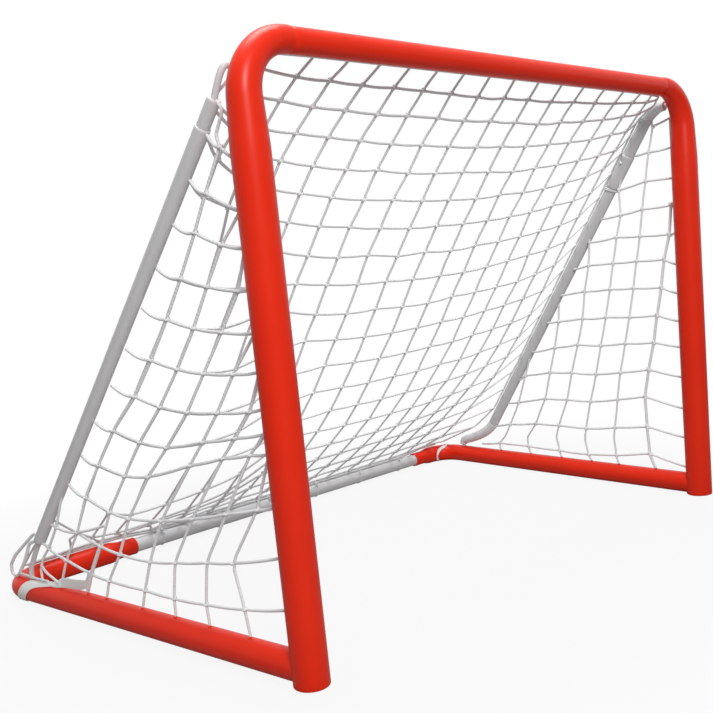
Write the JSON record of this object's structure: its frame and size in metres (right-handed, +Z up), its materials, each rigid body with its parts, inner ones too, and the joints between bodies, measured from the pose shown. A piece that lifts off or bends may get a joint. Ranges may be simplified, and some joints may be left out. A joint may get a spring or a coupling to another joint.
{
  "type": "goal",
  "caption": "Portable goal with a red push-fit tube frame, two grey stays, a grey rear bar, and a knotted net on the back and both sides.",
  "frame": {"origin": "on the ground in the middle of the footprint", "axes": "+Z up, +Y from the mouth to the back, +X along the crossbar to the goal's right as seen from in front of the mouth"},
  "size_m": [1.4046, 0.918, 0.9314],
  "materials": {
    "red_tube": "soft gloss red powder coat",
    "red_cap": "moulded red",
    "bare_steel": "plain drawn tube",
    "grey_tube": "satin light grey coat",
    "grey_rod": "satin light grey coat",
    "white_sleeve": "soft white sleeve",
    "button_steel": "plated",
    "spring_steel": "spring strip",
    "net_twine": "twisted knotted twine",
    "net_clip": "moulded red",
    "border_rope": "laid cord",
    "webbing": "flat off-white webbing"
  },
  "bodies": {
    "frame": {"left_upright": "red_tube", "right_upright": "red_tube", "left_foot_cap": "red_cap", "right_foot_cap": "red_cap", "crossbar": "red_tube", "left_base_stub": "bare_steel", "right_base_stub": "bare_steel", "left_base_bar": "red_tube", "right_base_bar": "red_tube", "rear_bar": "grey_tube", "left_stay_lower_tube": "grey_tube", "left_stay_upper_tube": "grey_tube", "left_stay_top_hook": "grey_rod", "left_stay_foot_hook": "grey_rod", "right_stay_lower_tube": "grey_tube", "right_stay_upper_tube": "grey_tube", "right_stay_joint_sleeve": "grey_tube", "right_stay_top_hook": "grey_rod", "right_stay_foot_hook": "grey_rod", "right_stay_top_sleeve": "white_sleeve", "right_stay_foot_sleeve": "white_sleeve", "crossbar_left_spring": "spring_steel", "crossbar_right_spring": "spring_steel", "rear_bar_left_spring": "spring_steel", "rear_bar_right_spring": "spring_steel", "left_stay_spring": "spring_steel", "right_stay_spring": "spring_steel", "back_net": "net_twine", "left_side_net": "net_twine", "right_side_net": "net_twine", "crossbar_net_clips": "net_clip", "left_post_net_clips": "net_clip", "right_post_net_clips": "net_clip", "left_base_net_clips": "net_clip", "right_base_net_clips": "net_clip", "border_rope": "border_rope", "border_rope_ties": "border_rope", "left_corner_strap": "webbing", "right_corner_band": "webbing"},
    "crossbar_left_button_body": {"crossbar_left_button": "button_steel"},
    "crossbar_right_button_body": {"crossbar_right_button": "button_steel"},
    "rear_bar_left_button_body": {"rear_bar_left_button": "button_steel"},
    "rear_bar_right_button_body": {"rear_bar_right_button": "button_steel"},
    "left_stay_button_body": {"left_stay_button": "button_steel"},
    "right_stay_button_body": {"right_stay_button": "button_steel"}
  },
  "joints": [
    {"name": "crossbar_left_press", "type": "slide", "parent": "frame", "child": "crossbar_left_button_body", "axis": [0, -1, 0], "range_m": [0, 0.0043], "stiffness_N_per_m": 1500, "springref_m": -0.001, "deforming": ["crossbar_left_spring"]},
    {"name": "crossbar_right_press", "type": "slide", "parent": "frame", "child": "crossbar_right_button_body", "axis": [0, -1, 0], "range_m": [0, 0.0043], "stiffness_N_per_m": 1500, "springref_m": -0.001, "deforming": ["crossbar_right_spring"]},
    {"name": "rear_bar_left_press", "type": "slide", "parent": "frame", "child": "rear_bar_left_button_body", "axis": [0, -1, 0], "range_m": [0, 0.0059], "stiffness_N_per_m": 1500, "springref_m": -0.001, "deforming": ["rear_bar_left_spring"]},
    {"name": "rear_bar_right_press", "type": "slide", "parent": "frame", "child": "rear_bar_right_button_body", "axis": [0, -1, 0], "range_m": [0, 0.0059], "stiffness_N_per_m": 1500, "springref_m": -0.001, "deforming": ["rear_bar_right_spring"]},
    {"name": "left_stay_press", "type": "slide", "parent": "frame", "child": "left_stay_button_body", "axis": [-0.9952, -0.0978, 0], "range_m": [0, 0.0043], "stiffness_N_per_m": 1500, "springref_m": -0.001, "deforming": ["left_stay_spring"]},
    {"name": "right_stay_press", "type": "slide", "parent": "frame", "child": "right_stay_button_body", "axis": [0.9952, -0.0978, 0], "range_m": [0, 0.0049], "stiffness_N_per_m": 1500, "springref_m": -0.001, "deforming": ["right_stay_spring"]}
  ]
}
